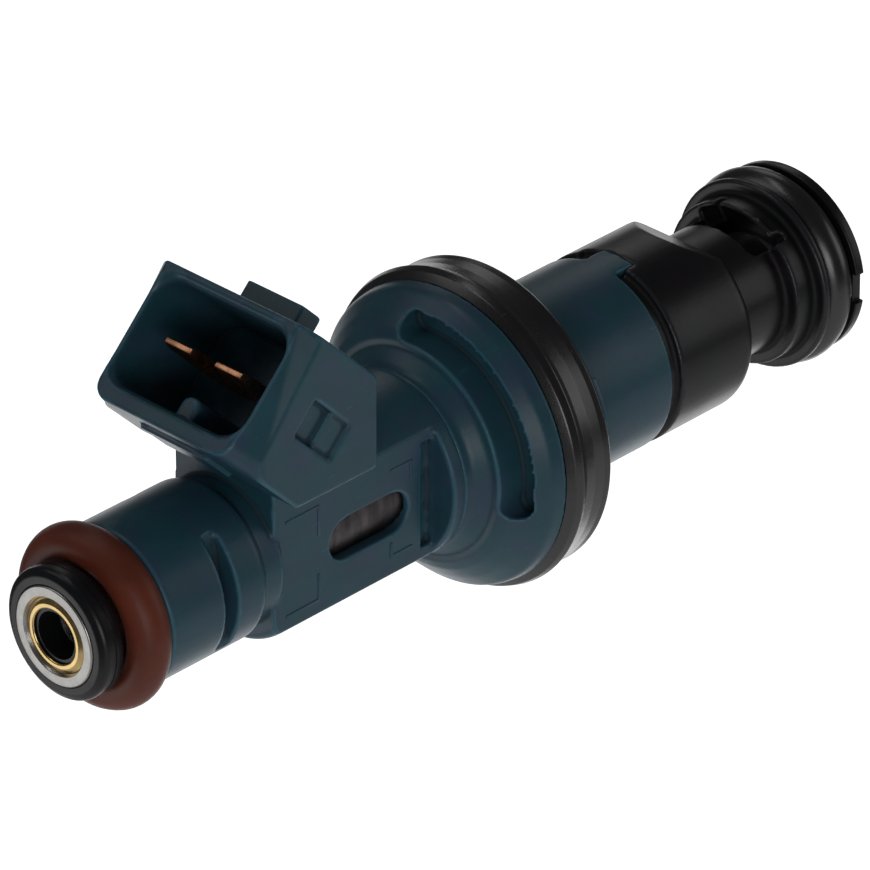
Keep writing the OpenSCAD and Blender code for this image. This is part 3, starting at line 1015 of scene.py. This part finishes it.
class INJECTOR_OT_flange(bpy.types.Operator):
    """Moulds the flange sleeve with its pockets, lug pad and tabs."""

    bl_idname = "injector.flange"
    bl_label = "Flange sleeve"

    def execute(self, context):
        sleeve = turned(
            "flange_moulding",
            [
                (34.3, 3.0),
                (34.3, 7.05, 0.1),
                (35.0, 7.1, 0.8),
                (36.05, 8.2, 0.25),
                (36.05, 8.75, 0.2),
                (36.5, 9.55, 0.3),
                (37.4, 10.55, 0.8),
                (38.7, 11.75, 1.0),
                (39.9, 11.95, 0.15),
                (39.9, 9.2),
                (46.9, 9.2, 0.2),
                (46.9, SLEEVE_R, 0.15),
                (56.0, SLEEVE_R, 0.15),
                (56.0, 6.88),
                (61.0, 6.88),
                (61.0, 3.0),
            ],
        )
        lug = arc_block("lug", (44.42, 46.9), (8.0, 9.65), -60, 92, 48)
        tabs, pockets = [], []
        for turn, last in ((0, 101), (180, 84)):
            tabs.append(
                arc_block("tab", (55.0, 58.0), (6.7, SLEEVE_R), 78 + turn, 23, 18)
            )
            pockets += self.kidney_pocket(turn - 13, turn + last)
        combine(sleeve, [lug] + tabs, "UNION")
        combine(sleeve, pockets, "DIFFERENCE")
        bore = turned(
            "bore", [(33.0, 6.0), (38.0, 6.0), (38.0, 3.6), (62.0, 3.6)], hollow=False
        )
        combine(sleeve, [bore], "DIFFERENCE")
        moulded(sleeve, 190000)
        finished(sleeve, "slate_plastic", "flange_sleeve", smooth=0)
        return {"FINISHED"}

    def kidney_pocket(self, first, last):
        """A bent bar with round ends, between two angles round the axis."""
        mean_r, end_r = 9.72, 0.98
        reach = math.degrees(end_r / mean_r)
        start, end = first + reach, last - reach
        span = (start, end - start, 72)
        shapes = [arc_block("pocket", (33, 38.7), (8.74, 10.7), *span)]
        for angle in (start, end):
            place = math.radians(angle)
            across, up = -mean_r * math.cos(place), mean_r * math.sin(place)
            shapes.append(rod("end", (35.85, across, up), end_r, 5.7))
        return shapes


class INJECTOR_OT_flange_seal(bpy.types.Operator):
    """Moulds the two-lipped rubber ring behind the flange."""

    bl_idname = "injector.flange_seal"
    bl_label = "Flange seal"

    def execute(self, context):
        seal = turned(
            "flange_seal_ring",
            [
                (39.92, 9.2),
                (39.92, 11.85, 0.1),
                (40.35, 12.45, 0.3),
                (40.95, 12.66, 0.3),
                (41.5, 12.4, 0.4),
                (42.6, 12.2, 1.2),
                (43.6, 12.2, 0.3),
                (44.1, 12.3, 0.2),
                (44.4, 12.05, 0.15),
                (44.4, 9.2),
            ],
            300,
        )
        finished(seal, "black_rubber", "flange_seal")
        return {"FINISHED"}


class INJECTOR_OT_shroud(bpy.types.Operator):
    """Moulds the black air shroud with its ramp, air window and disc."""

    bl_idname = "injector.shroud"
    bl_label = "Air shroud"

    def execute(self, context):
        shroud = turned(
            "air_shroud_moulding",
            [
                (56.02, 3.0),
                (56.02, 7.15),
                (57.0, 7.15),
                (57.0, SLEEVE_R, 0.12),
                (65.2, SLEEVE_R, 0.9),
                (65.3, 5.45, 0.3),
                (71.1, 5.45, 0.1),
                (71.1, 6.6, 0.15),
                (73.1, 6.6, 0.1),
                (73.1, 7.66, 0.25),
                (73.85, 7.66, 0.25),
                (73.85, 5.1, 0.2),
                (77.6, 5.1, 0.1),
                (77.6, 3.0),
            ],
        )
        ramp = block("ramp", (0, -10, 0), (3.7, 10, 5))
        settled(ramp, (0, math.radians(28.5), 0), (62.1, 0, SLEEVE_R))
        window = block("air_window", (69.4, -3.3, 0), (71.15, 3.3, 9))
        eased(window, 0.6, 4, lambda at, way: abs(way.z) > 0.9 and at.x < 70)
        under_rim = arc_block("under_rim", (71.0, 73.1), (3.5, 6.22), 51, 74, 48)
        rim_cuts = [
            arc_block("rim_cut", (70.9, 72.2), (6.0, 7.0), angle, sweep, 8)
            for angle, sweep in ((50, 6.5), (105, 5))
        ]
        slots = [
            arc_block("tab_slot", (55.5, 58.03), (6.0, 8.5), turn + 77.85, 23.3, 18)
            for turn in (0, 180)
        ]
        notch = arc_block("notch", (56.5, 57.7), (7.15, 8.5), 101, 13, 12)
        bore = turned(
            "bore",
            [
                (55.0, 6.9),
                (61.0, 6.9),
                (61.0, 4.8),
                (62.2, 4.8),
                (62.2, 3.6),
                (64.0, 3.6),
                (64.0, 4.4),
                (73.1, 4.4),
                (73.1, 3.1),
                (78.5, 3.1),
            ],
            hollow=False,
        )
        cuts = [ramp, window, under_rim, notch, bore] + rim_cuts + slots
        combine(shroud, cuts, "DIFFERENCE")
        lip = arc_block("rim_lip", (70.95, 71.4), (6.3, 6.72), 58, 13, 12)
        combine(shroud, [lip], "UNION")
        moulded(shroud, 170000)
        finished(shroud, "black_plastic", "air_shroud", smooth=0)
        return {"FINISHED"}


class INJECTOR_OT_tip_ring(bpy.types.Operator):
    """Turns the notched ring that keeps the tip seal on the shroud."""

    bl_idname = "injector.tip_ring"
    bl_label = "Tip ring"

    def execute(self, context):
        ring = turned(
            "tip_ring_notched",
            [
                (76.7, 5.1),
                (76.7, 7.7, 0.15),
                (77.6, 7.7, 0.2),
                (77.6, 5.1, 0.1),
            ],
        )
        notches = []
        for turn in (89, 269):
            notch = block("notch", (76, -1.2, 7.2), (78.5, 1.2, 9))
            notches.append(settled(notch, (math.radians(turn), 0, 0)))
        combine(ring, notches, "DIFFERENCE")
        corner = math.radians(40)
        modified(ring, "BEVEL", width=0.06, segments=2, angle_limit=corner)
        finished(ring, "black_plastic", "tip_ring")
        return {"FINISHED"}


class INJECTOR_OT_inner_parts(bpy.types.Operator):
    """Gives the solids that stay their finishes."""

    bl_idname = "injector.inner_parts"
    bl_label = "Inner parts"

    def execute(self, context):
        for part in frame["record"]["subparts"]:
            node = frame["nodes"][part["node"]]
            material = finish_of(part["material_slot"])
            if not node.data.materials:
                node.data.materials.append(material)
            for slot in node.material_slots:
                slot.material = material
        return {"FINISHED"}


# ---------------------------------------------------------------- stage


LIGHTS = (
    # Name, place, size and power
    ("near_box", (-0.3, -0.39, 0.08), (0.3, 0.22), 0.53),
    ("rim_box", (-0.28, 0.36, 0.38), (0.3, 0.3), 0.2),
    ("spray_box", (0.42, -0.3, 0.12), (0.25, 0.3), 0.2),
    ("far_box", (0.42, 0.36, 0.31), (0.24, 0.24), 0.12),
    ("inlet_card", (-0.31, 0.3, -0.24), (0.28, 0.28), 0.28),
    ("top_strip", (-0.02, 0.16, 0.4), (0.3, 0.06), 0.11),
    ("back_card", (0.318, 0.269, -0.227), (0.5, 0.5), 0.8),
    ("floor_bounce", (0.04, -0.1, -0.3), (1.0, 1.0), 1.3),
)


def soft_box(name, place, size, power):
    """A soft light that faces the injector."""
    bpy.ops.object.light_add(type="AREA", location=place)
    lamp = bpy.context.object
    lamp.name = name
    facing = Vector(LIT_PLACE) - Vector(place)
    lamp.rotation_euler = facing.to_track_quat("-Z", "Y").to_euler()
    lamp.data.shape = "RECTANGLE"
    lamp.data.size, lamp.data.size_y = size
    lamp.data.energy = power * bpy.context.scene.injector_stage.light
    lamp.visible_camera = False


class INJECTOR_OT_stage(bpy.types.Operator):
    """Sets up the camera, the pale floor and the soft boxes."""

    bl_idname = "injector.stage"
    bl_label = "Stage"

    def execute(self, context):
        stage = context.scene.injector_stage
        bpy.ops.object.select_all(action="DESELECT")
        self.floor(stage)
        self.camera(stage)
        for light in LIGHTS:
            soft_box(*light)
        world = bpy.data.worlds.new("studio_air")
        world.use_nodes = True
        air = world.node_tree.nodes["Background"].inputs
        air["Color"].default_value = (0.92, 0.95, 1.0, 1.0)
        air["Strength"].default_value = 0.06
        context.scene.world = world
        context.scene.view_settings.view_transform = "Standard"
        return {"FINISHED"}

    def floor(self, stage):
        level = CAD_LOW.z - stage.floor_drop
        bpy.ops.mesh.primitive_plane_add(size=6.0, location=(0, 0, level))
        floor = started("studio_floor")
        finish = Finish("pale_floor")
        paper = finish.noise(30, 2)
        tone = finish.blend(paper, (0.86, 0.86, 0.86), (0.9, 0.9, 0.9))
        floor.data.materials.append(
            finish.done(
                Base_Color=tone,
                Roughness=0.9,
                **{
                    "Emission Color": (1.0, 1.0, 1.0, 1.0),
                    "Emission Strength": stage.floor_glow,
                },
            )
        )
        floor.visible_diffuse = floor.visible_glossy = floor.visible_shadow = False

    def camera(self, stage):
        azimuth, elevation = stage.azimuth, stage.elevation
        back = Vector(
            (
                math.sin(azimuth) * math.cos(elevation),
                -math.cos(azimuth) * math.cos(elevation),
                math.sin(elevation),
            )
        )
        right = (-back).cross(Vector((0, 0, 1))).normalized()
        up = right.cross(-back)
        turn = stage.roll
        across = right * math.cos(turn) + up * math.sin(turn)
        above = up * math.cos(turn) - right * math.sin(turn)
        bpy.ops.object.camera_add()
        camera = bpy.context.object
        camera.name = "studio_camera"
        camera.data.sensor_width, camera.data.lens = 36.0, stage.lens
        camera.data.clip_start, camera.data.clip_end = 0.01, 20.0
        facing = Matrix((across, above, back)).transposed().to_4x4()
        camera.matrix_world = Matrix.Translation(stage.camera_place) @ facing
        bpy.context.scene.camera = camera


# ---------------------------------------------------------------- add-on


MAKING_ORDER = (
    INJECTOR_OT_stage,
    INJECTOR_OT_inner_parts,
    INJECTOR_OT_inlet,
    INJECTOR_OT_round_seals,
    INJECTOR_OT_body,
    INJECTOR_OT_blades,
    INJECTOR_OT_flange,
    INJECTOR_OT_flange_seal,
    INJECTOR_OT_shroud,
    INJECTOR_OT_tip_ring,
)


class INJECTOR_PT_maker(bpy.types.Panel):
    """Lists the injector's pieces in making order"""

    bl_label = "Injector"
    bl_idname = "INJECTOR_PT_maker"
    bl_space_type = "VIEW_3D"
    bl_region_type = "UI"
    bl_category = "Injector"

    def draw(self, context):
        for operator in MAKING_ORDER:
            self.layout.operator(operator.bl_idname)
        for group in ("injector_sizes", "injector_colours", "injector_stage"):
            box = self.layout.box()
            settings = getattr(context.scene, group)
            for name in settings.bl_rna.properties.keys():
                if name not in ("rna_type", "name"):
                    box.prop(settings, name)


GROUPS = {
    "injector_sizes": InjectorSizes,
    "injector_colours": InjectorColours,
    "injector_stage": StageSettings,
}


def register():
    for group in GROUPS.values():
        bpy.utils.register_class(group)
    for operator in MAKING_ORDER:
        bpy.utils.register_class(operator)
    bpy.utils.register_class(INJECTOR_PT_maker)
    for name, group in GROUPS.items():
        setattr(bpy.types.Scene, name, PointerProperty(type=group))


def unregister():
    for name in GROUPS:
        delattr(bpy.types.Scene, name)
    bpy.utils.unregister_class(INJECTOR_PT_maker)
    for operator in reversed(MAKING_ORDER):
        bpy.utils.unregister_class(operator)
    for group in GROUPS.values():
        bpy.utils.unregister_class(group)


def main():
    register()
    for operator in MAKING_ORDER:
        family, name = operator.bl_idname.split(".")
        getattr(getattr(bpy.ops, family), name)()


if __name__ == "__main__":
    main()
